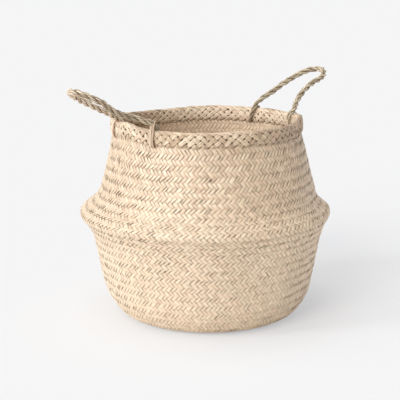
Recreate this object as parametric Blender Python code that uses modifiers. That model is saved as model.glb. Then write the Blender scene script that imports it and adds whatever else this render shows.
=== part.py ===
"""Belly basket: a seagrass basket whose tall wall is pushed down into a folded belly, with two rope handles.

The wall is turned in three stretches that meet at the creases of the weave: the lower body with its flat
base, up to the ridge of the belly; the shoulder that folds back in; and the neck. A folded border caps the
neck. At four places two strips are lashed round the border, through a slot in the neck, and each handle is
a rope of three strands that stands on two of these lashings.

Metres, +Z up. The origin is the middle of the base, on the floor, and the handles are at +X and -X.
"""

import math

import bpy
from mathutils import Matrix, Vector

# The gap that lies between any two pieces
SEAM_GAP = 0.0003

# The woven wall, measured on its outer side
WALL_THICKNESS = 0.0032
REST_RADIUS = 0.1075
BELLY_RADIUS = 0.180
BELLY_HEIGHT = 0.151
CREASE_RADIUS = 0.1560
CREASE_HEIGHT = 0.1780
NECK_TOP_RADIUS = 0.1330
RIM_HEIGHT = 0.283
STEPS_AROUND = 48
STEPS_PER_SPAN = 2

# Each point of an outline: the share of the way out or in, and the share of the way up
LOWER_SHARES = (
    (0.153, 0.0265),
    (0.302, 0.0795),
    (0.505, 0.232),
    (0.622, 0.437),
    (0.709, 0.649),
    (0.790, 0.808),
    (0.912, 0.925),
    (0.985, 0.967),
)
SHOULDER_SHARES = ((0.05, 0.15), (0.43, 0.42), (0.79, 0.70))
NECK_SHARES = ((0.24, 0.17), (0.47, 0.37), (0.75, 0.62), (0.95, 0.83))

# Where the wall is parted, as a share of the last span before the ridge and before the crease
PARTING_SHARE = 0.5

# The border that is folded over the top edge of the neck
BORDER_THICKNESS = 0.0024
BORDER_HEIGHT = 0.0200
BORDER_ARC_STEPS = 6
BORDER_LEG_STEPS = 2

# The lashings: two strips at each end of each handle
HANDLE_SPAN = 0.082
STRIP_RADIUS = 0.0013
STRIP_SPACING = 0.0029
STRIP_STANDOFF = 0.0010
STRIP_BEND = 0.0024
STRIP_BEND_SHARE = 0.3
SLOT_WIDTH = 0.0073
SLOT_HEIGHT = 0.0044
SLOT_DEPTH = 0.0150

# A strip's arc over the rim: the share of the way out, and the share of the way down
STRIP_ARC_SHARES = ((0.0, 0.0), (0.45, 0.10), (0.84, 0.43), (1.0, 1.0))

# The handles: the loop of each rope, and the strands that are laid into it
HANDLE_REACH = 0.098
HANDLE_RISE = 0.0484
ROPE_STRANDS = 3
ROPE_PITCH = 0.038
STRAND_RADIUS = 0.00195
STRAND_OFFSET = 0.00262
ROOT_TAPER_LENGTH = 0.020
ROOT_TAPER_SHARE = 0.72
STRAND_POINTS_PER_TURN = 8
LOOP_STEPS_PER_SPAN = 24

# The points of each leg of a loop: the share of the reach, then of half the span for each handle
REACH_SHARES = (0.000, 0.150, 0.350, 0.550, 0.750, 0.900, 0.985)
SPREAD_SHARES = {
    "right": (1.000, 0.930, 0.810, 0.710, 0.600, 0.380, 0.150),
    "left": (1.000, 0.890, 0.810, 0.790, 0.670, 0.450, 0.180),
}

# The share of the rise at the same points, for each handle's first and second leg
RISE_SHARES = {
    "right": (
        (0.000, 0.110, 0.365, 0.625, 0.815, 0.955, 0.997),
        (0.000, 0.180, 0.450, 0.660, 0.795, 0.890, 0.980),
    ),
    "left": (
        (0.000, 0.125, 0.280, 0.425, 0.725, 0.900, 0.990),
        (0.000, 0.175, 0.355, 0.550, 0.745, 0.880, 0.980),
    ),
}

# Colours of the dried leaf: linear red, green and blue
WALL_STRAW = (0.68, 0.48, 0.29, 1.0)
BORDER_STRAW = (0.74, 0.55, 0.35, 1.0)
STRIP_STRAW = (0.62, 0.45, 0.27, 1.0)
ROPE_GREEN = (0.50, 0.37, 0.20, 1.0)
LEAF_ROUGHNESS = 0.62


def leaf_material(name, colour):
    """A matt plant fibre."""
    made = bpy.data.materials.new(name)
    made.use_nodes = True
    shader = made.node_tree.nodes["Principled BSDF"]
    shader.inputs["Base Color"].default_value = colour
    shader.inputs["Roughness"].default_value = LEAF_ROUGHNESS
    shader.inputs["Metallic"].default_value = 0.0
    return made


def collection(name):
    made = bpy.data.collections.new(name)
    bpy.context.scene.collection.children.link(made)
    return made


def add_object(name, data, group, colour):
    """An object in its group, with a material of its own."""
    made = bpy.data.objects.new(name, data)
    group.objects.link(made)
    data.materials.append(leaf_material(f"{name}_leaf", colour))
    return made


def between(low, high, share):
    return low + (high - low) * share


def smooth_line(points, steps):
    """A Catmull-Rom curve through the points, with this many steps from each to the next."""
    ends = [2 * points[0] - points[1], *points, 2 * points[-1] - points[-2]]
    line = []
    for before, start, end, after in zip(ends, ends[1:], ends[2:], ends[3:]):
        for step in range(steps):
            t = step / steps
            line.append(
                start
                + (end - before) * (t / 2)
                + (2 * before - 5 * start + 4 * end - after) * (t**2 / 2)
                + (3 * start - before - 3 * end + after) * (t**3 / 2)
            )
    return [*line, points[-1]]


def span_points(start, end, shares):
    """Points of an outline, given as shares of the way from one (radius, height) to another."""
    return [
        Vector((between(start.x, end.x, out), between(start.y, end.y, up)))
        for out, up in shares
    ]


def end_cut(line, share):
    """The outline cut in its last span, half a seam gap short of that share of it."""
    near, far = line[-2:]
    return [*line[:-1], near.lerp(far, share) - (far - near).normalized() * (SEAM_GAP / 2)]


def start_cut(line, share):
    """The outline cut in its first span, half a seam gap past that share of it."""
    near, far = line[:2]
    return [near.lerp(far, share) + (far - near).normalized() * (SEAM_GAP / 2), *line[1:]]


def wall_outlines():
    """The outer side of the lower body, the shoulder and the neck, as (radius, height), going up."""
    rest = Vector((REST_RADIUS, 0))
    ridge = Vector((BELLY_RADIUS, BELLY_HEIGHT))
    crease = Vector((CREASE_RADIUS, CREASE_HEIGHT))
    top = Vector((NECK_TOP_RADIUS, RIM_HEIGHT - half_border()))
    lower = [rest, *span_points(rest, ridge, LOWER_SHARES)]
    shoulder = [ridge, *span_points(ridge, crease, SHOULDER_SHARES)]
    neck = [crease, *span_points(crease, top, NECK_SHARES), top]
    line = smooth_line([*lower, *shoulder, *neck], STEPS_PER_SPAN)
    at_ridge = STEPS_PER_SPAN * len(lower)
    at_crease = at_ridge + STEPS_PER_SPAN * len(shoulder)
    return (
        [Vector((0, 0)), *end_cut(line[: at_ridge + 1], PARTING_SHARE)],
        end_cut(start_cut(line[at_ridge - 1 : at_crease + 1], PARTING_SHARE), PARTING_SHARE),
        start_cut(line[at_crease - 1 :], PARTING_SHARE),
    )


def turned_shell(name, outline, thickness, group, colour):
    """A shell turned about Z, with the outline on its outer side, going up."""
    mesh = bpy.data.meshes.new(name)
    points = [(place.x, 0, place.y) for place in reversed(outline)]
    mesh.from_pydata(points, [(i, i + 1) for i in range(len(points) - 1)], [])
    wall = add_object(name, mesh, group, colour)
    turn = wall.modifiers.new("turn", "SCREW")
    turn.steps = STEPS_AROUND
    turn.render_steps = STEPS_AROUND
    turn.use_merge_vertices = True
    turn.merge_threshold = SEAM_GAP / 10
    turn.use_smooth_shade = True
    shell = wall.modifiers.new("thickness", "SOLIDIFY")
    shell.thickness = thickness
    shell.offset = -1
    shell.use_even_offset = True
    return wall


def radius_beside(neck, height, out):
    """The radius at a height, this far out from the middle of the neck's sloping wall."""
    low, high = neck[-2:]
    for start, end in zip(neck, neck[1:]):
        if start.y <= height < end.y:
            low, high = start, end
    lean = (high - low).length / (high.y - low.y)
    face = between(low.x, high.x, min(1, (height - low.y) / (high.y - low.y)))
    return face + (out - WALL_THICKNESS / 2) * lean


def half_border():
    """Half the width of the border, from the middle of the wall to the border's face."""
    return WALL_THICKNESS / 2 + SEAM_GAP + BORDER_THICKNESS


def make_border(neck, group):
    """An upside-down U that caps the neck and follows its slope on both sides."""
    half = half_border()
    knee = RIM_HEIGHT - half
    bottom = RIM_HEIGHT - BORDER_HEIGHT
    heights = [between(bottom, knee, step / BORDER_LEG_STEPS) for step in range(BORDER_LEG_STEPS)]
    inner = [Vector((radius_beside(neck, height, -half), height)) for height in heights]
    outer = [Vector((radius_beside(neck, height, half), height)) for height in reversed(heights)]
    arc = []
    for step in range(BORDER_ARC_STEPS + 1):
        turn = math.pi * step / BORDER_ARC_STEPS
        out, up = -half * math.cos(turn), half * math.sin(turn)
        arc.append(Vector((radius_beside(neck, knee, out), knee + up)))
    outline = [*inner, *arc, *outer]
    turned_shell("rim_border", list(reversed(outline)), BORDER_THICKNESS, group, BORDER_STRAW)


def strip_line(neck):
    """One strip's way round the border, as (radius, height): over the rim and through the slot."""
    leg = half_border() + STRIP_STANDOFF + STRIP_RADIUS
    top = RIM_HEIGHT + STRIP_STANDOFF + STRIP_RADIUS
    knee = RIM_HEIGHT - half_border()
    low = slot_height_on_wall()
    half = [(leg * out, between(top, knee, down)) for out, down in STRIP_ARC_SHARES]
    half.append((leg, low + STRIP_BEND))
    half.append((leg - STRIP_BEND * STRIP_BEND_SHARE, low + STRIP_BEND * STRIP_BEND_SHARE))
    half.append((leg - STRIP_BEND, low))
    around = [*half, *((-out, height) for out, height in reversed(half[1:]))]
    return [(radius_beside(neck, height, out), height) for out, height in around]


def slot_height_on_wall():
    """The height of the slots, which the strips pass through just under the border."""
    return RIM_HEIGHT - BORDER_HEIGHT - SEAM_GAP - STRIP_RADIUS


def rope_circle():
    """The radius of the middle of the rim, on which the handles stand."""
    return NECK_TOP_RADIUS - WALL_THICKNESS / 2


def lashing_angles():
    """The angle about Z of each lashing, by name."""
    half = math.asin(HANDLE_SPAN / 2 / rope_circle())
    return {
        "right_back": half,
        "right_front": -half,
        "left_front": math.pi + half,
        "left_back": math.pi - half,
    }


def make_strip(name, points, group):
    """A round strip that closes on itself."""
    curve = bpy.data.curves.new(name, "CURVE")
    curve.dimensions = "3D"
    curve.bevel_depth = STRIP_RADIUS
    curve.bevel_resolution = 1
    spline = curve.splines.new("POLY")
    spline.points.add(len(points) - 1)
    for place, point in zip(spline.points, points):
        place.co = (*point, 1)
    spline.use_cyclic_u = True
    return add_object(name, curve, group, STRIP_STRAW)


def cut_slot(name, neck_wall, place, cutters):
    """A slot through the neck for one pair of strips."""
    bpy.ops.mesh.primitive_cube_add(size=1)
    slot = bpy.context.object
    slot.name = name
    slot.data.transform(Matrix.Diagonal((SLOT_DEPTH, SLOT_WIDTH, SLOT_HEIGHT, 1)))
    slot.matrix_world = place
    for holder in slot.users_collection:
        holder.objects.unlink(slot)
    cutters.objects.link(slot)
    slot.hide_render = True
    slot.display_type = "WIRE"
    cut = neck_wall.modifiers.new(name, "BOOLEAN")
    cut.operation = "DIFFERENCE"
    cut.solver = "EXACT"
    cut.object = slot


def make_lashings(neck_wall, neck, parts, cutters):
    line = strip_line(neck)
    slot_height = slot_height_on_wall()
    slot_place = Matrix.Translation((radius_beside(neck, slot_height, 0), 0, slot_height))
    for name, angle in lashing_angles().items():
        turn = Matrix.Rotation(angle, 4, "Z")
        for side, along in (("a", STRIP_SPACING / 2), ("b", -STRIP_SPACING / 2)):
            points = [turn @ Vector((radius, along, height)) for radius, height in line]
            make_strip(f"lashing_{name}_{side}", points, parts)
        cut_slot(f"slot_{name}", neck_wall, turn @ slot_place, cutters)


def hinge_place():
    """The middle of a handle's hinge line, which passes through both ends of its rope.

    The lowest strand at each end settles a seam gap into the hollow between the two strips below it.
    """
    out = math.sqrt(rope_circle() ** 2 - (HANDLE_SPAN / 2) ** 2)
    root_radius = (STRAND_OFFSET + STRAND_RADIUS) * ROOT_TAPER_SHARE
    strip_top = RIM_HEIGHT + STRIP_STANDOFF + 2 * STRIP_RADIUS
    return Vector((out, 0, strip_top - SEAM_GAP + root_radius))


def leg_points(side, rises, half_span):
    return [
        Vector((out * HANDLE_REACH, spread * half_span, up * HANDLE_RISE))
        for out, spread, up in zip(REACH_SHARES, SPREAD_SHARES[side], rises)
    ]


def loop_line(side):
    """The middle line of one handle's rope from end to end, and the distance along it."""
    first_rises, second_rises = RISE_SHARES[side]
    first = leg_points(side, first_rises, HANDLE_SPAN / 2)
    second = leg_points(side, second_rises, -HANDLE_SPAN / 2)
    tip = Vector((HANDLE_REACH, 0, HANDLE_RISE))
    line = smooth_line([*first, tip, *reversed(second)], LOOP_STEPS_PER_SPAN)
    along = [0]
    for start, end in zip(line, line[1:]):
        along.append(along[-1] + (end - start).length)
    return line, along


def point_along(line, along, distance):
    """The point at a distance along a line, and the line's direction there."""
    last = next((i for i in range(1, len(line)) if along[i] >= distance), len(line) - 1)
    share = (distance - along[last - 1]) / (along[last] - along[last - 1])
    return line[last - 1].lerp(line[last], share), (line[last] - line[last - 1]).normalized()


def strand_points(side, strand):
    """Points of one strand, which winds right-handed round the rope's middle line, with their relative size.

    The first strand lies lowest at the rope's first end, and the pitch is fitted to the rope's length so
    that a strand lies lowest at its other end too.
    """
    line, along = loop_line(side)
    length = along[-1]
    turns = round(ROPE_STRANDS * length / ROPE_PITCH) / ROPE_STRANDS
    count = round(STRAND_POINTS_PER_TURN * turns)
    upright = Vector((-HANDLE_RISE, 0, HANDLE_REACH))
    placed = []
    for step in range(count + 1):
        distance = length * step / count
        middle, way = point_along(line, along, distance)
        grown = min(1, distance / ROOT_TAPER_LENGTH, (length - distance) / ROOT_TAPER_LENGTH)
        size = between(1, ROOT_TAPER_SHARE, (1 + math.cos(grown * math.pi)) / 2)
        across = way.cross(upright).normalized()
        above = across.cross(way)
        turn = -math.tau * (strand / ROPE_STRANDS + turns * step / count) - math.pi / 2
        offset = across * math.cos(turn) + above * math.sin(turn)
        placed.append((middle + offset * (STRAND_OFFSET * size), size))
    return placed


def make_strand(name, placed, group):
    curve = bpy.data.curves.new(name, "CURVE")
    curve.dimensions = "3D"
    curve.bevel_depth = STRAND_RADIUS
    curve.bevel_resolution = 1
    curve.use_fill_caps = True
    spline = curve.splines.new("POLY")
    spline.points.add(len(placed) - 1)
    for place, (point, size) in zip(spline.points, placed):
        place.co = (*point, 1)
        place.radius = size
    return add_object(name, curve, group, ROPE_GREEN)


def make_handle(side, turn, group):
    """One rope of three strands, built on its hinge line."""
    place = Matrix.Rotation(turn, 4, "Z") @ Matrix.Translation(hinge_place())
    for strand in range(ROPE_STRANDS):
        placed = strand_points(side, strand)
        made = make_strand(f"{side}_handle_strand_{strand + 1}", placed, group)
        made.matrix_world = place


def main():
    for thing in list(bpy.data.objects):
        bpy.data.objects.remove(thing)
    parts = collection("belly_basket")
    cutters = collection("slot_cutters")
    lower, shoulder, neck = wall_outlines()
    turned_shell("lower_body", lower, WALL_THICKNESS, parts, WALL_STRAW)
    turned_shell("belly_shoulder", shoulder, WALL_THICKNESS, parts, WALL_STRAW)
    neck_wall = turned_shell("neck_wall", neck, WALL_THICKNESS, parts, WALL_STRAW)
    make_border(neck, parts)
    make_lashings(neck_wall, neck, parts, cutters)
    make_handle("right", 0, parts)
    make_handle("left", math.pi, parts)


main()
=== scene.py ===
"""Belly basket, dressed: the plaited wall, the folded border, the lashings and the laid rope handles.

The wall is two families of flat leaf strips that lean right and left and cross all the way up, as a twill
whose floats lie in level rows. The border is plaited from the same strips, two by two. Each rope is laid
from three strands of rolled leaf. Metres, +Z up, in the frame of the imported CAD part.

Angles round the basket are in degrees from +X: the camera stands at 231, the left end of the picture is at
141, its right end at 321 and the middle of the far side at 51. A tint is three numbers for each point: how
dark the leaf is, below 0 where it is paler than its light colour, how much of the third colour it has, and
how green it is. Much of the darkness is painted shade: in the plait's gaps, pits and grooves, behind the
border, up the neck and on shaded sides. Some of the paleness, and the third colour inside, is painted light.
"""

import math

import bpy
import numpy as np
from mathutils import Matrix, Vector


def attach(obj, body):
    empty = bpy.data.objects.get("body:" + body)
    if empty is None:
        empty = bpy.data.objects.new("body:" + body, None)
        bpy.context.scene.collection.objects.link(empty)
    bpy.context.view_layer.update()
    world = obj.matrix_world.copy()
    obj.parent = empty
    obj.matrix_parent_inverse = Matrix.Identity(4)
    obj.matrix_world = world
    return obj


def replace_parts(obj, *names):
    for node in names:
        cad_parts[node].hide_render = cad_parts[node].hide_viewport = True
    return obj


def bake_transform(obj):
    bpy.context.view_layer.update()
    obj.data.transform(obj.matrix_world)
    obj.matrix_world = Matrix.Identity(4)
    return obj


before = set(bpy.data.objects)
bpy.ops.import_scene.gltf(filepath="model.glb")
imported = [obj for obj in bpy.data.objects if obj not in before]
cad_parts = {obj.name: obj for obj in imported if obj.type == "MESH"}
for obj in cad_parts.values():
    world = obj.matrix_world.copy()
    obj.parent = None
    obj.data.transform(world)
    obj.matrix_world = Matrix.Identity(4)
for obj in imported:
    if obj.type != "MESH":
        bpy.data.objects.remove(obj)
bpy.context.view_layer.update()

rng = np.random.default_rng(41)

# The outer side of the wall, as (radius, height), going up from the base
OUTER_SIDE = (
    (0.1075, 0.0000),
    (0.1186, 0.0040),
    (0.1294, 0.0120),
    (0.1441, 0.0350),
    (0.1526, 0.0660),
    (0.1589, 0.0980),
    (0.1648, 0.1220),
    (0.1737, 0.1397),
    (0.1789, 0.1460),
    (0.1800, 0.1510),
    (0.1788, 0.1551),
    (0.1697, 0.1623),
    (0.1610, 0.1699),
    (0.1560, 0.1780),
    (0.1505, 0.1951),
    (0.1452, 0.2153),
    (0.1388, 0.2404),
    (0.1342, 0.2615),
    (0.1330, 0.2787),
)
# Where the strips start over the mat's edge, as (radius, height), and where the wall's own side begins
WALL_FOOT = ((0.0960, 0.0033), (0.1015, 0.0031), (0.1065, 0.0019))
FOOT_RADIUS = 0.1125
FOOT_HEIGHT = 0.003
# The strips that lean each way, the pieces that they are made as, the width of them all side by side, and
# the steepest that they run, from level
STRIPS = 144
WALL_PARTS = 3
TURN_WIDTH = 0.675
STEEPEST = math.radians(57)
# How far a strip rises and sinks in the plait, its own height above and below its middle, how much of its
# place it fills, and how far below the wall's top it ends
WALL_LIFT = 0.00060
LEAF_DOME = 0.00040
LEAF_BELLY = 0.00024
LEAF_FILL = 0.91
STRIP_END = 0.004
# How far from the middle of a float, in rows, a strip stays up before it dips
FLOAT_HOLD = 0.78
# How dark the leaf is at each height: painted shade, darker up the neck towards the rim and paler at the
# base
SHADE_HEIGHTS = (0.0, 0.12, 0.155, 0.19, 0.27)
HEIGHT_SHADES = (-0.08, 0.0, 0.06, 0.30, 0.42)

# The body isn't quite round: how far each height stands to the right of the picture, and how much wider
ASIDE_WAY = math.radians(-39)
ASIDE_HEIGHTS = (0.000, 0.012, 0.030, 0.060, 0.125, 0.148, 0.160, 0.185, 0.240, 0.262)
ASIDE_SHIFTS = (0.0030, 0.0032, 0.0026, 0.0012, 0.0012, -0.0015, -0.0022, 0.0012, 0.0010, 0.0)
ASIDE_WIDTHS = (0.0027, 0.0029, 0.0020, 0.0009, 0.0009, 0.0004, 0.0, 0.0009, 0.0004, 0.0)
LUMP_SIZE = 0.00030
# The rim isn't quite level: the angle of each rise or dip, its width in radians, and its height
RIM_BUMPS = (
    (84, 0.42, -0.0020),
    (102, 0.30, -0.0016),
    (321, 0.30, 0.0038),
    (318, 0.20, 0.0022),
    (141, 0.30, 0.0024),
    (176, 0.23, 0.0060),
)
# The border's lower edge stands higher near one angle
RAISED_EDGE = (150, 0.36)
RAISED_BY = 0.0018

# Places where the leaf differs, as an angle and a width in radians: a painted sheen on the neck, a green
# patch, painted shade inside, the border paler as painted light and browner as painted shade, and a stain
PAINTED_SHEEN_NECK = (165, 0.50)
GREEN_NECK = (141, 0.32)
PAINTED_SHADE_INSIDE = (112, 0.45)
PAINTED_LIGHT_BORDER = (172, 0.55)
PAINTED_SHADE_BORDER = (290, 0.50)
BORDER_STAIN = (261, 0.06)

# The mat inside the base, of straight strips: its radius, their width, the rings along each, and about how
# far above the ground the lowest of them lie
MAT_RADIUS = 0.1045
MAT_WIDTH = 0.0045
MAT_RINGS = 72
MAT_CLEARANCE = 0.0001

# The border: its lower edge outside, its top, half its thickness, how far the middle of the plait is inside
# its face, its double strands each way, how many others each crosses, and the width and length of a strand.
# The last three are as for the wall's strips
BORDER_LOW = 0.2637
BORDER_TOP = 0.2830
BORDER_HALF = 0.0043
BORDER_SKIN = 0.0013
BORDER_STRANDS = STRIPS // 2
BORDER_ROWS = 12
BORDER_STRIP = 0.0054
STRAND_LENGTH = 0.05
BORDER_LIFT = 0.00085
BORDER_DOME = 0.00100
BORDER_BELLY = 0.00040
# Each face of the border from its lower edge up: the height, and how far out from its plain thickness
BORDER_FACE = (
    (0.2603, -0.0036),
    (BORDER_LOW, -0.0010),
    (0.2675, 0.0),
    (0.2730, 0.0002),
    (BORDER_TOP - BORDER_HALF, 0.0),
)
# How high a strand runs, from a crossing where it is over the other, 0, to the next, where it is under, 1
CROSSING_PLACES = (0, 0.33, 0.66, 1.0)
CROSSING_HEIGHTS = (1.0, 0.80, -0.30, -1.0)
# The heights and radii of the circle that the border is folded over
BORDER_HEIGHTS = (0.24, 0.2615, 0.2787, 0.29)
BORDER_RADII = (0.1372, 0.1326, 0.1314, 0.1311)

# The handles: the hinge of the right one, the distance between its feet, how far out and up its tip stands,
# and the circle that the feet stand on
HINGE = (0.12484, 0.0, 0.28959)
HANDLE_SPAN = 0.082
HANDLE_REACH = 0.098
HANDLE_RISE = 0.0484
ROPE_CIRCLE = 0.1314
HALF_ANGLE = math.asin(HANDLE_SPAN / 2 / ROPE_CIRCLE)
# The route of a handle's two legs from foot to tip, as shares of the reach, half the span and the rise. The
# first leg is the back one on the right and the front one on the left
REACH_SHARES = (0.000, 0.150, 0.350, 0.550, 0.750, 0.900, 0.985)
SPREAD_SHARES = {
    "right": (
        (1.000, 0.930, 0.810, 0.710, 0.600, 0.380, 0.150),
        (1.000, 0.830, 0.730, 0.680, 0.640, 0.450, 0.190),
    ),
    "left": (
        (1.000, 0.890, 0.810, 0.790, 0.670, 0.450, 0.180),
        (1.000, 0.890, 0.810, 0.790, 0.670, 0.450, 0.180),
    ),
}
RISE_SHARES = {
    "right": (
        (0.000, 0.150, 0.360, 0.600, 0.800, 0.950, 0.997),
        (0.000, 0.180, 0.450, 0.660, 0.795, 0.890, 0.980),
    ),
    "left": (
        (0.030, 0.170, 0.290, 0.445, 0.745, 0.905, 0.990),
        (0.000, 0.160, 0.338, 0.535, 0.732, 0.870, 0.978),
    ),
}
# How far each foot stands aside of its place, as in the photograph, and how far its tail leans inside
FOOT_SHIFTS = {"right": (-0.0050, -0.0110), "left": (0.0023, 0.0)}
TAIL_LEANS = {"right": (0.0095, 0.0), "left": (0.0, 0.0)}
# A tail inside the border, from its lower end up: how far inside the border's middle, its height, its lean
TAIL = (
    (0.0046, 0.2622, 1.0),
    (0.0068, 0.2680, 0.7),
    (0.0072, 0.2745, 0.4),
    (0.0066, 0.2812, 0.15),
    (0.0036, 0.2868, 0.0),
)
LINE_STEPS = 24
# Which way is up from the plane of a handle
HANDLE_UP = (-HANDLE_RISE, 0, HANDLE_REACH)
# How thick each rope is, and its two feet, beside the plain size
ROPE_SIZES = {"right": 1.0, "left": 1.04}
FOOT_SIZES = {"right": (0.80, 0.85), "left": (1.08, 0.85)}
FOOT_TAPER = 0.020
# The length of a rope's turn, the rings along a strand, its leaves and the points round each, how often the
# leaves turn in that length, a strand's distance from the rope's middle, and its radius
ROPE_PITCH = 0.038
ROPE_RINGS = 440
ROPE_LEAVES = 4
LEAF_SIDES = 5
LEAF_TURNS = 1.15
STRAND_OFFSET = 0.00236
STRAND_RADIUS = 0.00186

# Half the distance between a foot's two lashings, the length of one, and its half width and half height
LASHING_STEP = 0.0019
LASHING_LENGTH = 0.066
LASHING_WIDTH = 0.00165
LASHING_HEIGHT = 0.0010
# A lashing's way over the rim and down outside: how far out of the border's middle, its height, and its
# share of the rise over the rim and of the lift of its lower end
LASHING_ROUTE = (
    (0.0, 0.2830, 1.0, 0.0),
    (0.003355, 0.2830, 0.72, 0.0),
    (0.005368, 0.2820, 0.12, 0.0),
    (0.0061, 0.2780, 0.0, 0.0),
    (0.0065, 0.2720, 0.0, 0.5),
    (0.0057, 0.2655, 0.0, 1.0),
    (0.0035, 0.2616, 0.0, 1.0),
)
# Its lowest point, how far inside it comes as a share of how far outside, and the middle and half the height
# of its loop
LASHING_FOOT = 0.2608
INSIDE_SHARE = 0.8
LOOP_MIDDLE = 0.2725
LOOP_HALF = 0.0105
# Each foot's lashings: their place and angle, how far aside they stand, how far they lean going down, how
# high they rise over the rim, and how far their lower end is lifted
LASHINGS = (
    ("right_back", HALF_ANGLE, -0.0050, 0.0110, 0.0032, 0.0),
    ("right_front", -HALF_ANGLE, -0.0110, 0.0, 0.0030, 0.0),
    ("left_front", math.pi + HALF_ANGLE, 0.0023, 0.0, 0.0125, 0.0),
    ("left_back", math.pi - HALF_ANGLE, 0.0, 0.0, 0.0036, 0.0030),
)
LASHING_TINTS = {
    "right_back": ((0.30, 0.10, 0.30), (0.40, 0.10, 0.20)),
    "right_front": ((0.20, 0.15, 0.20), (0.25, 0.20, 0.20)),
    "left_front": ((0.75, 0.35, 0.10), (0.25, 0.20, 0.10)),
    "left_back": ((1.00, 1.40, 0.00), (0.00, 0.00, 0.20)),
}

# Points round a strip's section, as how far across and how high: one leaf, two rolled side by side, and two
# lying side by side
LEAF_RING = (
    (-1.0, 0.05),
    (-0.93, 0.64),
    (-0.70, 0.88),
    (0.0, 1.00),
    (0.70, 0.88),
    (0.93, 0.64),
    (1.0, 0.05),
    (0.75, -0.90),
    (-0.75, -0.90),
)
ROLLED_RING = (
    (-1.0, 0.0),
    (-0.84, 0.60),
    (-0.52, 0.96),
    (-0.22, 0.84),
    (0.0, 0.20),
    (0.22, 0.84),
    (0.52, 0.96),
    (0.84, 0.60),
    (1.0, 0.0),
    (0.6, -0.90),
    (-0.6, -0.90),
)
PAIR_RING = (
    (-1.0, 0.05),
    (-0.92, 0.74),
    (-0.75, 0.98),
    (-0.35, 1.02),
    (-0.12, 0.80),
    (0.0, 0.10),
    (0.12, 0.80),
    (0.35, 1.02),
    (0.75, 0.98),
    (0.92, 0.74),
    (1.0, 0.05),
    (0.6, -0.90),
    (-0.6, -0.90),
)

# The bake map: the length that sets how many bands a tube is cut into, a band's margins as shares of its
# height and its length, and the radius of the disc for a tube's end
BAKE_BAND = 0.011
BAND_MARGIN = 0.08
END_MARGIN = 0.004
DISC_RADIUS = 0.4

# The camera, fitted to the photograph: degrees round from -Y, degrees up, metres, and pixels of a picture
# that is 400 wide
CAMERA_AZIMUTH = -39
CAMERA_ELEVATION = 13.94
CAMERA_DISTANCE = 1.631
TARGET = Vector((0, 0, 0.1242))
PICTURE_WIDTH = 400
FOCAL_PIXELS = 1121.3
SHIFT_PIXELS = (-6.5, 26.67)
SENSOR_WIDTH = 36

# The lamps: degrees to the right of the camera, elevation, strength, softness in degrees, and colour
LAMPS = (
    ("left", -68, 24, 1.27, 16, (0.93, 0.96, 1.0)),
    ("front", -30, 28, 1.90, 32, (1.0, 0.98, 0.96)),
    ("top", -90, 76, 1.00, 50, (1.0, 0.99, 0.97)),
    ("right", 80, 8, 0.15, 40, (1.0, 0.97, 0.93)),
)
# The light from all round, and the even backdrop that the camera and reflections see instead
SKY_COLOUR = (0.98, 0.96, 0.96)
SKY_STRENGTH = 0.43
BACKDROP_COLOUR = (0.913, 0.913, 0.913)
# The floor: its size, how far it lies below the basket, its paint, the even colour that the camera sees over
# it, and how much of that
FLOOR_SIZE = 60
FLOOR_DROP = 0.0002
FLOOR_COLOUR = (0.93, 0.92, 0.91)
FLOOR_SEEN_COLOUR = (0.770, 0.790, 0.818)
FLOOR_SEEN_SHARE = 0.55


def catmull(points, steps):
    """A smooth line through the points, as an array."""
    points = [np.array(p, float) for p in points]
    ends = [2 * points[0] - points[1], *points, 2 * points[-1] - points[-2]]
    line = []
    for before, start, end, after in zip(ends, ends[1:], ends[2:], ends[3:]):
        for step in range(steps):
            t = step / steps
            line.append(
                start
                + (end - before) * (t / 2)
                + (2 * before - 5 * start + 4 * end - after) * (t**2 / 2)
                + (3 * start - before - 3 * end + after) * (t**3 / 2)
            )
    return np.array([*line, points[-1]])


def smoothstep(x, low, high):
    t = np.clip((x - low) / (high - low), 0, 1)
    return t * t * (3 - 2 * t)


def lengths_along(line):
    return np.concatenate([[0], np.cumsum(np.linalg.norm(np.diff(line, axis=0), axis=1))])


def running_total(rates, at):
    """The sum of the rates from the first place up to each place."""
    return np.concatenate([[0], np.cumsum(rates[:-1] * np.diff(at))])


def outward_normals(r, z, along):
    """The outward normals of a line of radii and heights."""
    dr, dz = np.gradient(r, along), np.gradient(z, along)
    size = np.hypot(dr, dz)
    return dz / size, -dr / size


def near_angle(theta, degrees, wide):
    """1 at an angle round the basket, falling away to 0 on both sides of it."""
    away = (theta - math.radians(degrees) + math.pi) % math.tau - math.pi
    return np.exp(-((away / wide) ** 2))


def spread(values, shape):
    """The values repeated to fill a shape."""
    return np.broadcast_to(values, shape).copy()


class Turned:
    """A surface turned about Z: a line of (radius, height), evenly stepped, with its outward normals."""

    def __init__(self, line, step=0.0004):
        along = lengths_along(line)
        self.length = along[-1]
        self.s = np.linspace(0, self.length, int(self.length / step))
        self.r = np.interp(self.s, along, line[:, 0])
        self.z = np.interp(self.s, along, line[:, 1])
        self.nr, self.nz = outward_normals(self.r, self.z, self.s)

    def radius(self, s):
        return np.interp(s, self.s, self.r)

    def at(self, s, theta, out):
        """Points at a distance along, an angle round and an offset outward, with the wall's own lumps."""
        r = self.radius(s) + np.interp(s, self.s, self.nr) * out
        z = np.interp(s, self.s, self.z) + np.interp(s, self.s, self.nz) * out
        r = r + lumps(theta, z)
        near_edge = smoothstep(z, 0.20, 0.262) * (1 - smoothstep(z, 0.263, 0.281))
        raised = RAISED_BY * near_angle(theta, *RAISED_EDGE) * near_edge
        z = z + rim_wave(theta) * smoothstep(z, 0.19, 0.275) + raised
        return np.stack([r * np.cos(theta), r * np.sin(theta), z], -1)


# Slow waves of the wall: the turns of each round the basket, its rise with height, its phase and its size
LUMP_WAVES = [
    (int(rng.integers(2, 11)), rng.uniform(-45, 45), rng.uniform(0, math.tau), rng.uniform(0.5, 1))
    for _ in range(14)
]


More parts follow.
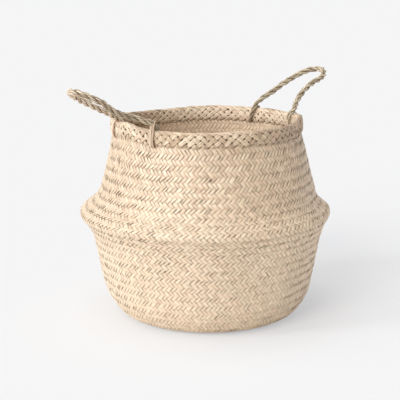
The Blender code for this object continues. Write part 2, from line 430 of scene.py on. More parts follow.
def lumps(theta, z):
    """Slow unevenness of the hand-pressed wall, which fades out at the base and at the rim."""
    total = 0
    for turns, rise, phase, size in LUMP_WAVES:
        total = total + size * np.sin(turns * theta + rise * z + phase)
    fade = smoothstep(z, 0.004, 0.05) * (1 - 0.75 * smoothstep(z, 0.24, 0.262))
    aside = np.interp(z, ASIDE_HEIGHTS, ASIDE_SHIFTS) * np.cos(theta - ASIDE_WAY)
    wide = np.interp(z, ASIDE_HEIGHTS, ASIDE_WIDTHS)
    return LUMP_SIZE * total * fade + aside + wide


def rim_wave(theta):
    """How far the rim stands above its level at an angle."""
    level = 0.0005 * np.sin(3 * theta + 0.6) + 0.0004 * np.sin(7 * theta + 2.0)
    for degrees, wide, rise in RIM_BUMPS:
        level = level + rise * near_angle(theta, degrees, wide)
    return level


def wander(share, length, spacing):
    """Smooth random values from -1 to 1 along each of several strips, with a new one at every spacing."""
    coarse = max(3, int(length / spacing) + 2)
    values = rng.uniform(-1, 1, (len(share), coarse))
    place = np.clip(share, 0, 1) * (coarse - 1.001)
    low = place.astype(int)
    t = place - low
    t = t * t * (3 - 2 * t)
    strip = np.arange(len(share))[:, None]
    return values[strip, low] * (1 - t) + values[strip, low + 1] * t


def ring_shape(ring, dome, belly):
    """For each point of a strip's section: where it is across, and how high above the strip's middle."""
    across = np.array([u for u, _ in ring])
    side = np.array([v for _, v in ring])
    return across, np.where(side > 0, side * dome, side * belly)


def tubes_mesh(name, points, tags, tints, material):
    """One mesh of many closed tubes, from arrays of tubes x rings x ring points x 3."""
    tubes, rings, sides, _ = points.shape
    count = tubes * rings * sides
    index = np.arange(count).reshape(tubes, rings, sides)
    lower, upper = index[:, :-1, :], index[:, 1:, :]
    quads = np.stack([lower, upper, np.roll(upper, -1, 2), np.roll(lower, -1, 2)], -1).reshape(-1, 4)
    first, last = index[:, 0, :], index[:, -1, ::-1]
    loops = np.concatenate([quads.ravel(), first.ravel(), last.ravel()])
    totals = np.concatenate([np.full(len(quads), 4), np.full(tubes * 2, sides)])
    starts = np.concatenate([[0], np.cumsum(totals)[:-1]])
    mesh = bpy.data.meshes.new(name)
    mesh.vertices.add(count)
    mesh.vertices.foreach_set("co", points.astype(np.float32).ravel())
    mesh.loops.add(len(loops))
    mesh.loops.foreach_set("vertex_index", loops.astype(np.int32))
    mesh.polygons.add(len(totals))
    mesh.polygons.foreach_set("loop_start", starts.astype(np.int32))
    mesh.polygons.foreach_set("use_smooth", np.ones(len(totals), bool))
    mesh.update(calc_edges=True)
    for key, values in (("leaf", tags), ("tint", tints)):
        layer = mesh.attributes.new(key, "FLOAT_VECTOR", "POINT")
        layer.data.foreach_set("vector", values.astype(np.float32).ravel())
    add_bake_map(mesh, tags, len(loops))
    mesh.materials.append(material)
    made = bpy.data.objects.new(name, mesh)
    bpy.context.scene.collection.objects.link(made)
    return made


def add_bake_map(mesh, tags, loop_count):
    """Lays every tube flat in bands that don't overlap, and the tubes' ends as discs in a last band."""
    tubes, rings, sides, _ = tags.shape
    along = tags[:, :, 0, 1].max() - tags[:, :, 0, 1].min()
    chunks = max(1, round(math.sqrt(along / BAKE_BAND / tubes)))
    span = np.arange(rings - 1)
    per_chunk = math.ceil(len(span) / chunks)
    chunk = span // per_chunk
    place = (span - chunk * per_chunk)[None, :, None]
    bands = tubes * chunks + 1
    band = np.arange(tubes)[:, None, None] * chunks + chunk[None, :, None]
    side = np.arange(sides)[None, None, :]
    inner = 1 - 2 * BAND_MARGIN
    v0 = (band + BAND_MARGIN + inner * side / sides) / bands
    v1 = (band + BAND_MARGIN + inner * (side + 1) / sides) / bands
    length = 1 - 2 * END_MARGIN
    u0 = np.broadcast_to(END_MARGIN + length * place / per_chunk, v0.shape)
    u1 = np.broadcast_to(END_MARGIN + length * (place + 1) / per_chunk, v0.shape)
    quads = np.stack([u0, v0, u1, v0, u1, v1, u0, v1], -1).reshape(-1, 2)
    end = np.arange(loop_count - len(quads))
    turn = end % sides / sides * math.tau
    discs = math.ceil(len(end) / sides)
    disc_u = (end // sides + 0.5 + DISC_RADIUS * np.cos(turn)) / discs
    disc_v = (bands - 0.5 + DISC_RADIUS * np.sin(turn)) / bands
    uv = np.concatenate([quads, np.stack([disc_u, disc_v], -1)])
    layer = mesh.uv_layers.new(name="OFBake", do_init=False)
    layer.uv.foreach_set("vector", uv.astype(np.float32).ravel())


def leaf_tints(count, darkest=0.28, greenest=0.15, uneven=0.08):
    """A random tint for each of several strips."""
    dark = np.clip(rng.normal(darkest, uneven, count), 0, 1)
    pink = np.clip(rng.normal(0.20, 0.22, count), 0, 1)
    green = np.clip(rng.normal(greenest, 0.22, count), 0, 1)
    return np.stack([dark, pink, green], -1)


def leaf_tags(across, along, ids, shape):
    """Where each point is on its leaf: across it, along it, and the leaf's own number."""
    return np.stack([spread(across, shape), spread(along, shape), spread(ids, shape)], -1)


def wall_surface():
    """The middle of the plait, a strip's thickness inside the CAD wall's outer side."""
    outer = catmull(OUTER_SIDE, LINE_STEPS)
    normals = np.stack(outward_normals(outer[:, 0], outer[:, 1], lengths_along(outer)), -1)
    middle = outer - normals * (WALL_LIFT + LEAF_DOME)
    side = [p for p in middle if p[0] > FOOT_RADIUS or p[1] > FOOT_HEIGHT]
    foot = catmull([*WALL_FOOT, side[0]], 8)
    return Turned(np.array([*foot[:-1], *side]))


wall = wall_surface()
lean = np.arcsin(np.minimum(TURN_WIDTH / (math.tau * wall.r), math.sin(STEEPEST)))
turned = running_total(1 / np.tan(lean) / wall.r, wall.s)
# Where the strips pass into the border, and the row of crossings at each place, counted from there
above_foot = wall.s > 0.1
hole_s = np.interp(BORDER_LOW, wall.z[above_foot], wall.s[above_foot])
turned = turned - np.interp(hole_s, wall.s, turned)
row = STRIPS * turned / math.pi


def key_rows(first, last, centre, offsets, period):
    """Rows at which a strip's height is set, from the first row to the last."""
    found = [first, last]
    start = math.floor((first - centre) / period) * period + centre
    while start < last + period:
        found += [start + o for o in offsets if first + 0.1 < start + o < last - 0.1]
        start += period
    return np.array(sorted(found))


def twill_height(rows, centre):
    """How high a strip runs at each row, from about -1 to 1: over two strips, then under two."""
    away = np.abs((rows - centre + 2) % 4 - 2)
    over = 1.08 - 0.38 * (away / FLOAT_HOLD) ** 2
    under = -(1.08 - 0.38 * ((2 - away) / FLOAT_HOLD) ** 2)
    between = np.interp(away, [FLOAT_HOLD, 2 - FLOAT_HOLD], [0.70, -0.70])
    return np.where(away <= FLOAT_HOLD, over, np.where(away >= 2 - FLOAT_HOLD, under, between))


def laid_strips(surface, way, s, theta, lean_at, half, drift, lift, roll, section):
    """The points of one family of strips on a turned surface, and the place along and angle of each."""
    across, high = section
    sideways = across * half[..., None] + drift[..., None]
    angle = lean_at[None, :, None]
    s_at = np.clip(s[None, :, None] - way * sideways * np.cos(angle), 0, surface.length)
    theta_at = theta[..., None] + sideways * np.sin(angle) / surface.radius(s)[None, :, None]
    out = lift[..., None] + high + across * half[..., None] * roll[..., None]
    return surface.at(s_at, theta_at, out), s_at, theta_at


def facing_out(way, *arrays):
    """The arrays, with the rings of one way turned round, so that both ways' faces look outward."""
    return [array[:, :, ::-1] if way > 0 else array for array in arrays]


def wall_strips(name, way, material):
    """One family of the wall's strips: seen from outside and going up, way 1 leans right and -1 left."""
    centre = 0.5 if way > 0 else 2.5
    top = float(np.interp(wall.length - STRIP_END, wall.s, row))
    offsets = (-FLOAT_HOLD, 0, FLOAT_HOLD, 2 - FLOAT_HOLD, 2, 2 + FLOAT_HOLD)
    keys = key_rows(float(row[0]), top, centre, offsets, 4)
    height = twill_height(keys, centre)
    s = np.interp(keys, row, wall.s)
    share = np.broadcast_to(s / wall.length, (STRIPS, len(keys)))
    lean_at = np.interp(s, wall.s, lean)
    pitch = math.tau * wall.radius(s) * np.sin(lean_at) / STRIPS

    def uneven(spacing):
        return wander(share, wall.length, spacing)

    # Neighbours share an uneven edge, and a strip fills its whole place where others hide it
    edge = 0.19 * uneven(0.019) + 0.05 * rng.normal(size=(STRIPS, 1))
    next_edge = np.roll(edge, -1, 0)
    fill = LEAF_FILL + 0.015 - 0.045 * way + 0.03 * uneven(0.015)
    slit = np.clip(uneven(0.010) - 0.60, 0, 1) * (1.1 + 0.4 * way)
    hidden = np.clip(-1.3 * height, 0, 1)[None, :]
    half = pitch / 2 * (1 + next_edge - edge) * ((fill - slit) * (1 - hidden) + hidden)
    drift = pitch / 2 * (next_edge + edge)
    roll = 0.12 * uneven(0.008) + 0.05 * rng.normal(size=(STRIPS, 1))
    lift = WALL_LIFT * height[None, :] * (1 + 0.25 * uneven(0.012))
    round_at = (math.tau * (np.arange(STRIPS) + 0.5) / STRIPS)[:, None]
    theta = round_at + way * np.interp(s, wall.s, turned)
    across, high = section = ring_shape(LEAF_RING, LEAF_DOME, LEAF_BELLY)
    points, s_at, theta_at = laid_strips(wall, way, s, theta, lean_at, half, drift, lift, roll, section)
    shape = points.shape[:3]
    face = high > 0
    ids = rng.random((STRIPS, 1, 1))
    # Inside, the leaf is tagged narrower, so that the painted shade along its edges is weaker there
    tags = leaf_tags(across * np.where(face, 1.0, 0.7), s[None, :, None], ids, shape)
    tint = spread(leaf_tints(STRIPS, uneven=0.09)[:, None, None, :], (*shape, 3))
    z = points[..., 2]
    # Painted shade by height, less a painted sheen that makes the left of the neck paler
    painted_light_and_shade = np.interp(z, SHADE_HEIGHTS, HEIGHT_SHADES)
    painted_light_and_shade = painted_light_and_shade - 0.10 * near_angle(theta_at, *PAINTED_SHEEN_NECK) * smoothstep(z, 0.17, 0.22)
    patches = 0.20 * uneven(0.006)[..., None] * smoothstep(z, 0.15, 0.24)
    # Painted shade on the outer face where a strip dips under the other family and where it passes behind
    # the border
    under = np.clip(0.1 - height, 0, 1)[None, :, None]
    shade_behind_border = smoothstep(s_at, hole_s - 0.0008, hole_s + 0.0016)
    # Outside: that painted shade, painted shade by height and random patches. Inside: paler leaf as painted
    # light, darker near one angle as painted shade, and warmer, as painted light bounced from the wall
    shade_inside = near_angle(theta_at, *PAINTED_SHADE_INSIDE)
    tint[..., 0] += np.where(face, 1.1 * shade_behind_border + 1.5 * under + painted_light_and_shade + patches, shade_inside - 0.65)
    tint[..., 1] += (0.5 + 0.9 * shade_inside) * ~face
    tint[..., 2] += 0.45 * near_angle(theta_at, *GREEN_NECK) * smoothstep(z, 0.17, 0.21)
    points, tags, tint = facing_out(way, points, tags, tint)
    pieces = []
    for part in range(WALL_PARTS):
        rows = slice(part * STRIPS // WALL_PARTS, (part + 1) * STRIPS // WALL_PARTS)
        made = tubes_mesh(f"{name}_{part + 1}", points[rows], tags[rows], tint[rows], material)
        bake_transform(made)
        pieces.append(made)
    return pieces


def mat_strips(name, way, material):
    """One family of the flat mat's strips: straight, at 45 degrees to the handles."""
    half_count = int(MAT_RADIUS / MAT_WIDTH)
    numbers = np.arange(-half_count, half_count + 1)
    across, high = ring_shape(LEAF_RING, LEAF_DOME, LEAF_BELLY)
    shape = (MAT_RINGS, len(across))
    level = WALL_LIFT + LEAF_BELLY + MAT_CLEARANCE
    tubes, tagged = [], []
    for number in numbers:
        middle = number * MAT_WIDTH
        reach = math.sqrt(max(MAT_RADIUS**2 - (abs(middle) + MAT_WIDTH / 2) ** 2, 1e-6))
        keys = np.linspace(-reach / MAT_WIDTH, reach / MAT_WIDTH, MAT_RINGS)
        lift = WALL_LIFT * twill_height(keys - way * number, -0.5 if way > 0 else -2.5)
        sideways = spread(middle + across * MAT_WIDTH / 2 * LEAF_FILL, shape)
        along = spread((keys * MAT_WIDTH)[:, None], shape)
        x, y = (sideways, along) if way > 0 else (along, sideways)
        turn = math.sqrt(0.5)
        tubes.append(np.stack([(x - y) * turn, (x + y) * turn, level + lift[:, None] + high], -1))
        tagged.append(leaf_tags(across, along, rng.random(), shape))
    points, tags = facing_out(way, np.array(tubes), np.array(tagged))
    tint = spread(leaf_tints(len(numbers))[:, None, None, :], points.shape)
    made = tubes_mesh(name, points, tags, tint, material)
    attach(made, "lower")
    return made


def border_middle(z):
    """The radius of the circle that the border is folded over, at a height."""
    return np.interp(z, BORDER_HEIGHTS, BORDER_RADII)


def border_surface():
    """The middle of the border's plait, from its lower edge outside, over the rim, to the same inside."""
    knee = BORDER_TOP - BORDER_HALF
    half = BORDER_HALF - BORDER_SKIN
    outer = [(border_middle(z) + half + extra, z) for z, extra in BORDER_FACE]
    arc = [
        (border_middle(knee) + half * math.cos(a), knee + half * math.sin(a))
        for a in np.radians((30, 60, 90, 120, 150))
    ]
    inner = [(border_middle(z) - half - extra, z) for z, extra in reversed(BORDER_FACE)]
    return Turned(catmull([*outer, *arc, *inner], 12), 0.0002)


def border_course(surface, way):
    """At each step along the border: the crossings that a strand has made, and how far round it has gone.

    Over the rim the strands of way -1 go round faster, so they lie along it there.
    """
    share = surface.s / surface.length
    over_rim = smoothstep(share, 0.38, 0.45) * (1 - smoothstep(share, 0.55, 0.62))
    rates = {1: np.ones_like(share), -1: 1 + 1.8 * over_rim}
    crossed = running_total(rates[1] + rates[-1], surface.s)
    scale = BORDER_ROWS / crossed[-1]
    step = math.tau / BORDER_STRANDS
    return crossed * scale, running_total(rates[way], surface.s) * scale * step


def border_strands(name, way, material, surface):
    """One family of the border's double strands, which cross the other over the rim from face to face."""
    crossing, gone_round = border_course(surface, way)
    centre = 0.0 if way > 0 else 1.0
    keys = key_rows(0, BORDER_ROWS, centre, (-0.66, -0.33, 0.0, 0.33, 0.66, 1.0), 2)
    rim = BORDER_ROWS / 2
    from_end = np.minimum(keys, BORDER_ROWS - keys)
    floats = smoothstep(keys, rim - 1.6, rim - 1.2) * (1 - smoothstep(keys, rim + 1.2, rim + 1.6))
    inner = smoothstep(keys, rim + 0.6, rim + 1.6)
    foot = 1 - smoothstep(from_end, 0.5, 1.4)
    away = np.abs((keys - centre + 1) % 2 - 1)
    height = np.interp(away, CROSSING_PLACES, CROSSING_HEIGHTS)
    height = height * (1 - floats) - way * floats * 0.9
    height = height * (1 - foot) + foot * (0.6 if way > 0 else -1.5)
    s = np.interp(keys, crossing, surface.s)
    slope = np.gradient(gone_round, surface.s) * surface.r
    lean_at = np.interp(s, surface.s, np.arctan2(1, slope))
    pitch = math.tau * surface.radius(s) * np.sin(lean_at) / BORDER_STRANDS
    share = np.broadcast_to(keys / BORDER_ROWS, (BORDER_STRANDS, len(keys)))

    def uneven(spacing):
        return wander(share, STRAND_LENGTH, spacing)

    upper = smoothstep(from_end, 1.6, 2.4)
    wide = np.minimum(BORDER_STRIP * (1 + 0.04 * floats - 0.22 * foot + 0.06 * upper), 1.05 * pitch)
    half = wide / 2 * (1 + 0.20 * uneven(0.007))
    lift = BORDER_LIFT * (height * (1 - 0.40 * inner))[None, :] * (1 + 0.40 * uneven(0.007))
    lift = lift + 0.0004 * floats[None, :] * uneven(0.003)
    roll = 0.22 * uneven(0.006)
    drift = 0.0007 * uneven(0.009)
    round_at = (math.tau * (np.arange(BORDER_STRANDS) + 0.5) / BORDER_STRANDS)[:, None]
    theta = round_at + way * np.interp(keys, crossing, gone_round)
    across, high = section = ring_shape(ROLLED_RING, BORDER_DOME, BORDER_BELLY)
    points, _, _ = laid_strips(surface, way, s, theta, lean_at, half, drift, lift, roll, section)
    shape = points.shape[:3]
    tags = leaf_tags(across, s[None, :, None], rng.random((BORDER_STRANDS, 1, 1)), shape)
    tint = spread(leaf_tints(BORDER_STRANDS, 0.60, 0.15, 0.20)[:, None, None, :], (*shape, 3))
    # Painted light makes the border paler on its lit side, and painted shade browner and darker on its
    # shaded side
    paler, browner_in_shade = near_angle(theta, *PAINTED_LIGHT_BORDER), near_angle(theta, *PAINTED_SHADE_BORDER)
    # The inner face is painted paler and warmer as painted light, and darker near one angle as painted
    # shade; a stain darkens one place of the lowest row
    shade_inside = inner * near_angle(theta, *PAINTED_SHADE_INSIDE)
    stain = near_angle(theta, *BORDER_STAIN) * np.exp(-((keys - 1.0) ** 2))
    dark = 0.90 * browner_in_shade - 0.30 * paler - 0.70 * inner + 0.95 * shade_inside + 0.5 * stain
    # Where the strands of this way sink inside at the foot, they are painted in shade
    if way < 0:
        dark = dark + 1.3 * foot
    pink = 0.6 * browner_in_shade + 0.25 * inner + 0.60 * shade_inside + 0.6 * stain
    # The pits between the strands are painted in shade, darkest in the lowest row and lighter on the lit
    # side
    lowest = np.exp(-(((from_end - 1.2) / 0.75) ** 2)) * (2.8 - 1.4 * inner)
    pit_shade = (0.35 + lowest) * (1 - 0.4 * paler) * np.clip(-height - 0.05, 0, 1) * (1 - foot)
    tint[..., 0] += dark[..., None] + pit_shade[..., None] * (high > 0)
    tint[..., 1] += pink[..., None]
    made = tubes_mesh(name, *facing_out(way, points, tags, tint), material)
    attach(made, "neck")
    return made


def framed(line):
    """Directions across a line of a handle and above it, both square to the line."""
    way = np.gradient(line, axis=0)
    way /= np.linalg.norm(way, axis=1)[:, None]
    across = np.cross(way, HANDLE_UP)
    across /= np.linalg.norm(across, axis=1)[:, None]
    return across, np.cross(across, way)


def resampled(line, count):
    """A line of evenly spaced points, and how far along it each is."""
    along = lengths_along(line)
    at = np.linspace(0, along[-1], count)
    return np.stack([np.interp(at, along, line[:, i]) for i in range(3)], -1), at


def handle_line(side):
    """The middle line of a rope, with the tail of each foot, and how far along it each foot stands."""
    legs = []
    for foot, way in ((0, 1), (1, -1)):
        shift = FOOT_SHIFTS[side][foot]
        leg = []
        for out, aside, up in zip(REACH_SHARES, SPREAD_SHARES[side][foot], RISE_SHARES[side][foot]):
            y = way * aside * HANDLE_SPAN / 2 + shift * (1 - out) ** 7
            leg.append((out * HANDLE_REACH, y, up * HANDLE_RISE))
        turn = math.asin(leg[0][1] / ROPE_CIRCLE)
        leg[0] = (ROPE_CIRCLE * math.cos(turn) - HINGE[0], leg[0][1], leg[0][2])
        tail = []
        for inward, z, lean_share in TAIL:
            radius = border_middle(z) - inward
            at = turn + TAIL_LEANS[side][foot] * lean_share / radius
            tail.append((radius * math.cos(at) - HINGE[0], radius * math.sin(at), z - HINGE[2]))
        legs.append([*tail, *leg])
    tip = (HANDLE_REACH, 0, HANDLE_RISE)
    line = catmull([*legs[0], tip, *reversed(legs[1])], LINE_STEPS)
    along = lengths_along(line)
    foot = len(TAIL) * LINE_STEPS
    return line, along[foot], along[-1] - along[-1 - foot]


def rope_strand(name, side, strand, turn, material):
    """One strand of a handle: a bundle of rolled leaves, wound right-handed round the rope's middle."""
    whole, first_foot, second_foot = handle_line(side)
    line, at = resampled(whole, ROPE_RINGS)
    length = at[-1]
    held = length - first_foot - second_foot
    turns = round(3 * held / ROPE_PITCH) / 3
    share = np.array([at / length])

    def uneven(spacing):
        return wander(share, length, spacing)[0]

    # The strand's size, from its thin tails over its feet to the rope
    first_half = at < length / 2
    tail = np.where(first_half, at / first_foot, (length - at) / second_foot)
    beyond = np.minimum(at - first_foot, length - second_foot - at)
    size = np.where(first_half, *FOOT_SIZES[side])
    size = size + (ROPE_SIZES[side] - size) * smoothstep(beyond, 0, FOOT_TAPER)
    size = size - 0.45 * (1 - smoothstep(tail, 0, 0.8))

    phase = -math.tau * (strand / 3 + turns * (at - first_foot) / held) - math.pi / 2
    phase = phase + 0.20 * uneven(0.014)
    across, above = framed(line)
    offset = across * np.cos(phase)[:, None] + above * np.sin(phase)[:, None]
    middle = line + offset * (STRAND_OFFSET * size * (1 + 0.08 * uneven(0.010)))[:, None]

    # The leaves round the strand: which one each point is on, and how far out on it
    sides = ROPE_LEAVES * LEAF_SIDES
    round_turn = np.arange(sides) * math.tau / sides
    twist = ROPE_LEAVES * math.tau * LEAF_TURNS * at / ROPE_PITCH
    leaf_phase = ROPE_LEAVES * round_turn[None, :] - twist[:, None]
    ridge = np.abs(np.sin(leaf_phase / 2))
    leaf = (leaf_phase / math.tau) % ROPE_LEAVES
    number = np.floor(leaf).astype(int)
    fatness = 1 + 0.12 * wander(np.tile(share, (ROPE_LEAVES, 1)), length, 0.013)
    bulge = 0.74 + 0.37 * ridge**0.7 * np.take_along_axis(fatness.T, number, 1)
    radius = STRAND_RADIUS * (size * (1 + 0.06 * uneven(0.007)))[:, None] * bulge
    across, above = framed(middle)
    outward = across[:, None] * np.cos(round_turn)[:, None] + above[:, None] * np.sin(round_turn)[:, None]
    points = middle[:, None, :] + outward * radius[..., None]
    place = np.array(Matrix.Rotation(turn, 4, "Z") @ Matrix.Translation(HINGE))
    points = (points @ place[:3, :3].T + place[:3, 3])[None]

    ids = number / ROPE_LEAVES + strand * 0.071 + (0.35 if side == "left" else 0)
    tags = leaf_tags((leaf % 1) * 2 - 1, at[None, :, None], ids, points.shape[:3])
    tint = leaf_tints(ROPE_LEAVES, 0.24, 0.30, 0.28)[number][None]
    # Painted shade in the grooves between the leaves and on the sides of the strands that face the rope's
    # middle
    facing_in = -(outward * offset[:, None, :]).sum(-1)
    tint[..., 0] += 1.6 * (1 - ridge) ** 1.2 + 0.9 * smoothstep(facing_in, -0.2, 0.5)
    # The left rope's far leg is painted paler and less green, as painted light on the leg that faces the
    # lamps
    if side == "left":
        far_leg = smoothstep(at / length, 0.42, 0.56)[:, None]
        tint[..., 0] += 0.02 - 0.70 * far_leg
        tint[..., 2] -= 0.25 * far_leg
    made = tubes_mesh(name, points, tags, tint, material)
    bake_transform(made)
    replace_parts(made, f"{side}_handle_strand_{strand + 1}")
    return made


def lashing(name, angle, lean_by, rise, lift, tint_of, material):
    """A leaf round the border: from the rope's foot down outside, through the wall, and up inside."""
    outside = [(out, z + rise * risen + lift * lifted) for out, z, risen, lifted in LASHING_ROUTE]
    inside = [(-out * INSIDE_SHARE, z) for out, z in reversed(outside[1:])]
    line = catmull([*outside, (0.0, LASHING_FOOT + lift), *inside, outside[0]], 6)
    out, z = line[:, 0], line[:, 1]
    share = np.array([lengths_along(line) / lengths_along(line)[-1]])
    fade = np.sin(share[0] * math.pi)

    def uneven(spacing):
        return wander(share, LASHING_LENGTH, spacing)[0] * fade

    aside = lean_by * np.clip((BORDER_TOP - z) / 0.020, 0, 1) + 0.0005 * uneven(0.012)
    middle = np.stack([border_middle(z) + out, aside, z], -1)
    way = np.gradient(middle, axis=0)
    way /= np.linalg.norm(way, axis=1)[:, None]
    across = np.array([0.0, 1.0, 0.0])
    above = np.cross(across, way)
    outward = np.stack([out / BORDER_HALF, np.zeros(len(line)), (z - LOOP_MIDDLE) / LOOP_HALF], -1)
    above = above * np.sign((above * outward).sum(1))[:, None]
    ring_u, ring_h = ring_shape(PAIR_RING, 1.0, 0.5)
    width = LASHING_WIDTH * (1 + 0.12 * uneven(0.010))
    thick = LASHING_HEIGHT * (1 + 0.20 * uneven(0.008))
    points = (
        middle[:, None, :]
        + across * (ring_u[None, :] * width[:, None])[..., None]
        + above[:, None, :] * (ring_h[None, :] * thick[:, None])[..., None]
    )
    place = np.array(Matrix.Rotation(angle, 3, "Z"))
    points = (points @ place.T)[None]
    shape = points.shape[:3]
    tags = leaf_tags(ring_u, lengths_along(middle)[None, :, None], rng.random(), shape)
    tint = spread(np.array(tint_of), (*shape, 3))
    made = tubes_mesh(name, points, tags, tint, material)
    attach(made, "neck")
    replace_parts(made, name)
    return made


def leaf_material(name, light, dark, third, green, contrast, rough=0.55, shine=0.5):
    """Dried leaf: fibres and slow patches along it, painted shade at its edges, and the colours of the
    points' tints.
    """
    made = bpy.data.materials.new(name)
    made.use_nodes = True
    nodes, links = made.node_tree.nodes, made.node_tree.links
    shader = nodes["Principled BSDF"]

    def attribute(key):
        read = nodes.new("ShaderNodeAttribute")
        read.attribute_name = key
        parts = nodes.new("ShaderNodeSeparateXYZ")
        links.new(read.outputs["Vector"], parts.inputs[0])
        return read.outputs["Vector"], parts.outputs

    def noise(source, scales, detail):
        stretched = nodes.new("ShaderNodeVectorMath")
        stretched.operation = "MULTIPLY"
        links.new(source, stretched.inputs[0])
        stretched.inputs[1].default_value = scales
        texture = nodes.new("ShaderNodeTexNoise")
        texture.inputs["Scale"].default_value = 1.0
        texture.inputs["Detail"].default_value = detail
        links.new(stretched.outputs[0], texture.inputs["Vector"])
        return texture.outputs["Fac"]

    def ramp(source, low, high, out_low, out_high):
        mapped = nodes.new("ShaderNodeMapRange")
        links.new(source, mapped.inputs["Value"])
        mapped.inputs["From Min"].default_value = low
        mapped.inputs["From Max"].default_value = high
        mapped.inputs["To Min"].default_value = out_low
        mapped.inputs["To Max"].default_value = out_high
        return mapped.outputs["Result"]

    def combined(operation, a, b):
        maths = nodes.new("ShaderNodeMath")
        maths.operation = operation
        for socket, value in zip(maths.inputs, (a, b)):
            if isinstance(value, float):
                socket.default_value = value
            else:
                links.new(value, socket)
        return maths.outputs[0]

    def mixed(factor, a, b):
        mix = nodes.new("ShaderNodeMix")
        mix.data_type = "RGBA"
        links.new(factor, mix.inputs[0])
        for socket, value in ((mix.inputs[6], a), (mix.inputs[7], b)):
            if isinstance(value, tuple):
                socket.default_value = (*value, 1.0)
            else:
                links.new(value, socket)
        return mix.outputs[2]

    leaf, leaf_parts = attribute("leaf")
    _, tint_parts = attribute("tint")
    fibre = noise(leaf, (3.2, 45.0, 97.0), 3.0)
    slow = noise(leaf, (0.4, 85.0, 61.0), 2.0)
    # Painted shade along the leaf's edges, where the gaps between strips lie
    edge = ramp(combined("MULTIPLY", leaf_parts["X"], leaf_parts["X"]), 0.76, 1.0, 0.0, 1.5)
    streak = ramp(fibre, 0.30, 0.70, -0.20 * contrast, 0.28 * contrast)
    patch = ramp(slow, 0.30, 0.72, -0.13 * contrast, 0.18 * contrast)
    depth = combined("ADD", combined("ADD", combined("ADD", tint_parts["X"], streak), patch), edge)
    colour = mixed(ramp(depth, 0.0, 1.0, 0.0, 1.0), light, dark)
    # Below 0 the colour turns palest: random paler streaks and patches, and painted light
    palest_and_painted_light = tuple(1.22 * value for value in light)
    colour = mixed(ramp(depth, -0.6, 0.0, 1.0, 0.0), colour, palest_and_painted_light)
    # Past about 1 the colour turns deepest: painted shade in the gaps, pits and grooves
    deepest_painted_shade = tuple(0.28 * value for value in dark)
    colour = mixed(ramp(depth, 0.95, 1.9, 0.0, 1.0), colour, deepest_painted_shade)
    colour = mixed(combined("MULTIPLY", tint_parts["Y"], 0.55), colour, third)
    colour = mixed(combined("MULTIPLY", tint_parts["Z"], 0.5), colour, green)
    links.new(colour, shader.inputs["Base Color"])
    links.new(ramp(fibre, 0.3, 0.7, rough - 0.08, rough + 0.08), shader.inputs["Roughness"])
    shader.inputs["Specular IOR Level"].default_value = shine
    bump = nodes.new("ShaderNodeBump")
    bump.inputs["Strength"].default_value = 0.35
    bump.inputs["Distance"].default_value = 0.0002
    links.new(fibre, bump.inputs["Height"])
    links.new(bump.outputs["Normal"], shader.inputs["Normal"])
    return made


wall_leaf = leaf_material(
    "wall_leaf",
    light=(0.755, 0.628, 0.474),
    dark=(0.48, 0.34, 0.22),
    third=(0.74, 0.535, 0.375),
    green=(0.65, 0.58, 0.41),
    contrast=1.15,
    rough=0.45,
    shine=0.85,
)
border_leaf = leaf_material(
    "border_leaf",
    light=(0.76, 0.64, 0.49),
    dark=(0.44, 0.31, 0.20),
    third=(0.70, 0.52, 0.39),
    green=(0.60, 0.54, 0.37),
    contrast=1.9,
)
strip_leaf = leaf_material(
    "strip_leaf",
    light=(0.75, 0.64, 0.50),
    dark=(0.38, 0.27, 0.17),
    third=(0.58, 0.38, 0.27),
    green=(0.52, 0.47, 0.32),
    contrast=1.3,
)
rope_leaf = leaf_material(
    "rope_leaf",
    light=(0.77, 0.66, 0.52),
    dark=(0.25, 0.18, 0.11),
    third=(0.62, 0.43, 0.33),
    green=(0.46, 0.44, 0.28),
    contrast=2.0,
)

walls = wall_strips("wall_leaves_right", 1, wall_leaf) + wall_strips("wall_leaves_left", -1, wall_leaf)
for piece in walls:
    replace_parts(piece, "lower_body", "belly_shoulder", "neck_wall")
for name, way in (("base_leaves_right", 1), ("base_leaves_left", -1)):
    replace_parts(mat_strips(name, way, wall_leaf), "lower_body")
border = border_surface()
for name, way in (("border_strands_right", 1), ("border_strands_left", -1)):
    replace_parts(border_strands(name, way, border_leaf, border), "rim_border")
for place, angle, aside, lean_by, rise, lift in LASHINGS:
    for letter, step, tint in zip("ab", (LASHING_STEP, -LASHING_STEP), LASHING_TINTS[place]):
        name = f"lashing_{place}_{letter}"
        lashing(name, angle + (step + aside) / ROPE_CIRCLE, lean_by, rise, lift, tint, strip_leaf)
for side, turn in (("right", 0.0), ("left", math.pi)):
    for strand in range(3):
        rope_strand(f"{side}_rope_strand_{strand + 1}", side, strand, turn, rope_leaf)


def floor_material(name):
    """Plain paint, which the camera sees partly as an even pale backdrop."""
    made = bpy.data.materials.new(name)
    made.use_nodes = True
    nodes, links = made.node_tree.nodes, made.node_tree.links
    shader = nodes["Principled BSDF"]
    shader.inputs["Base Color"].default_value = (*FLOOR_COLOUR, 1)
    shader.inputs["Roughness"].default_value = 0.9
    shader.inputs["Specular IOR Level"].default_value = 0.0
    backdrop = nodes.new("ShaderNodeEmission")
    backdrop.inputs["Color"].default_value = (*FLOOR_SEEN_COLOUR, 1)
    backdrop.inputs["Strength"].default_value = 1.0
    rays = nodes.new("ShaderNodeLightPath")
    share = nodes.new("ShaderNodeMath")
    share.operation = "MULTIPLY"
    links.new(rays.outputs["Is Camera Ray"], share.inputs[0])
    share.inputs[1].default_value = FLOOR_SEEN_SHARE
    mix = nodes.new("ShaderNodeMixShader")
    links.new(share.outputs[0], mix.inputs[0])
    links.new(shader.outputs[0], mix.inputs[1])
    links.new(backdrop.outputs[0], mix.inputs[2])
    links.new(mix.outputs[0], nodes["Material Output"].inputs["Surface"])
    return made


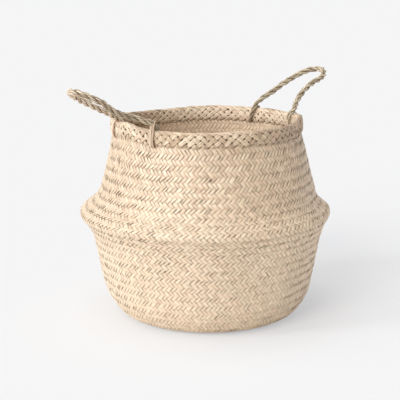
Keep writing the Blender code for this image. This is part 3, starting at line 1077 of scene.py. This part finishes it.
def studio_world():
    """Soft light from all round, which the camera and reflections see as an even pale backdrop."""
    world = bpy.data.worlds.new("studio")
    world.use_nodes = True
    nodes, links = world.node_tree.nodes, world.node_tree.links
    nodes.clear()
    sky = nodes.new("ShaderNodeBackground")
    sky.inputs["Color"].default_value = (*SKY_COLOUR, 1)
    sky.inputs["Strength"].default_value = SKY_STRENGTH
    seen = nodes.new("ShaderNodeBackground")
    seen.inputs["Color"].default_value = (*BACKDROP_COLOUR, 1)
    seen.inputs["Strength"].default_value = 1.0
    rays = nodes.new("ShaderNodeLightPath")
    either = nodes.new("ShaderNodeMath")
    either.operation = "MAXIMUM"
    links.new(rays.outputs["Is Camera Ray"], either.inputs[0])
    links.new(rays.outputs["Is Glossy Ray"], either.inputs[1])
    mix = nodes.new("ShaderNodeMixShader")
    links.new(either.outputs[0], mix.inputs[0])
    links.new(sky.outputs[0], mix.inputs[1])
    links.new(seen.outputs[0], mix.inputs[2])
    out = nodes.new("ShaderNodeOutputWorld")
    links.new(mix.outputs[0], out.inputs[0])
    return world


def direction(azimuth, elevation):
    """The way to a place in degrees round from -Y and degrees up."""
    a, e = math.radians(azimuth), math.radians(elevation)
    return Vector((math.sin(a) * math.cos(e), -math.cos(a) * math.cos(e), math.sin(e)))


def placed(name, data):
    made = bpy.data.objects.new(name, data)
    bpy.context.scene.collection.objects.link(made)
    made.rotation_mode = "QUATERNION"
    return made


bpy.ops.mesh.primitive_plane_add(size=FLOOR_SIZE, location=(0, 0, -FLOOR_DROP))
floor = bpy.context.object
floor.name = "floor"
floor.data.materials.append(floor_material("floor_paint"))

bpy.context.scene.world = studio_world()
for name, aside, elevation, strength, softness, colour in LAMPS:
    light = bpy.data.lights.new(name, "SUN")
    light.energy = strength
    light.angle = math.radians(softness)
    light.color = colour
    toward = direction(CAMERA_AZIMUTH + aside, elevation)
    placed(name, light).rotation_quaternion = toward.to_track_quat("Z", "Y")

camera_data = bpy.data.cameras.new("camera")
camera_data.sensor_width = SENSOR_WIDTH
camera_data.lens = FOCAL_PIXELS / PICTURE_WIDTH * SENSOR_WIDTH
camera_data.shift_x = SHIFT_PIXELS[0] / PICTURE_WIDTH
camera_data.shift_y = SHIFT_PIXELS[1] / PICTURE_WIDTH
camera_data.clip_start = 0.01
camera_data.clip_end = 200
camera = placed("camera", camera_data)
back = direction(CAMERA_AZIMUTH, CAMERA_ELEVATION)
camera.location = TARGET + back * CAMERA_DISTANCE
camera.rotation_quaternion = (-back).to_track_quat("-Z", "Y")
bpy.context.scene.camera = camera

bpy.context.scene.view_settings.view_transform = "Standard"
